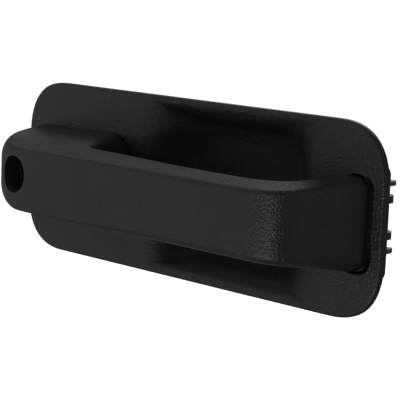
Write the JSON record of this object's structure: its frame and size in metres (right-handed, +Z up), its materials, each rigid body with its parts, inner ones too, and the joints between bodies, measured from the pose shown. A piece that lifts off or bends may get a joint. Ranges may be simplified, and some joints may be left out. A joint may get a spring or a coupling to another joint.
{
  "type": "exterior door handle",
  "caption": "Textured black pull-type exterior vehicle door handle: hinged strap grip with key bore, escutcheon with finger recess, pull leg, sprung bell crank and mounting studs.",
  "frame": {"origin": "middle of the escutcheon's outline, in the plane of the door skin that the seal and the stud bosses rest on", "axes": "+X along the escutcheon towards the hinged end of the grip, +Z up, +Y into the door, so the grip faces -Y"},
  "size_m": [0.27, 0.0856, 0.0968],
  "materials": {
    "textured_plastic": "black moulded plastic with a fine leather-like grain",
    "bracket_plastic": "plain black glass-filled plastic",
    "seal_rubber": "black moulded rubber",
    "acetal": "natural white acetal",
    "zinc_plated_steel": "zinc-plated steel",
    "bright_steel": "ground bright steel",
    "spring_steel": "oiled spring steel",
    "die_cast_zinc": "bare die-cast zinc alloy"
  },
  "bodies": {
    "base": {"bezel": "textured_plastic", "bezel_gasket": "seal_rubber", "bumper_1": "seal_rubber", "bumper_2": "seal_rubber", "stud_1": "zinc_plated_steel", "stud_2": "zinc_plated_steel", "stud_3": "zinc_plated_steel", "stud_4": "zinc_plated_steel", "nut_1": "zinc_plated_steel", "nut_2": "zinc_plated_steel", "nut_3": "zinc_plated_steel", "nut_4": "zinc_plated_steel", "hinge_bracket": "bracket_plastic", "hinge_pin": "bright_steel", "hinge_screw_1": "zinc_plated_steel", "hinge_screw_2": "zinc_plated_steel", "lever_bracket": "bracket_plastic", "lever_screw_1": "zinc_plated_steel", "lever_screw_2": "zinc_plated_steel", "lever_pin": "bright_steel", "lever_pin_clip": "spring_steel", "return_spring": "spring_steel"},
    "grip": {"grip_shell": "textured_plastic", "grip_back": "bracket_plastic", "lock_sleeve": "bracket_plastic", "pull_leg": "die_cast_zinc", "leg_screw_1": "zinc_plated_steel", "leg_screw_2": "zinc_plated_steel", "hinge_bushing_upper": "acetal", "hinge_bushing_lower": "acetal"},
    "lever": {"bellcrank": "die_cast_zinc", "rod_clip": "acetal"}
  },
  "joints": [
    {"name": "grip_pull", "type": "hinge", "parent": "base", "child": "grip", "pos_m": [0.11, 0.0188, 0], "axis": [0, 0, 1], "range_deg": [0, 7]},
    {"name": "lever_turn", "type": "hinge", "parent": "base", "child": "lever", "pos_m": [-0.06, 0.0117, -0.02875], "axis": [1, 0, 0], "range_deg": [0, 40], "stiffness_Nm_per_rad": 0.35, "springref_deg": -68.75, "deforming": ["return_spring"]}
  ],
  "couplings": [
    {"joint": "lever_turn", "follows": "grip_pull", "ratio": 5.714}
  ]
}
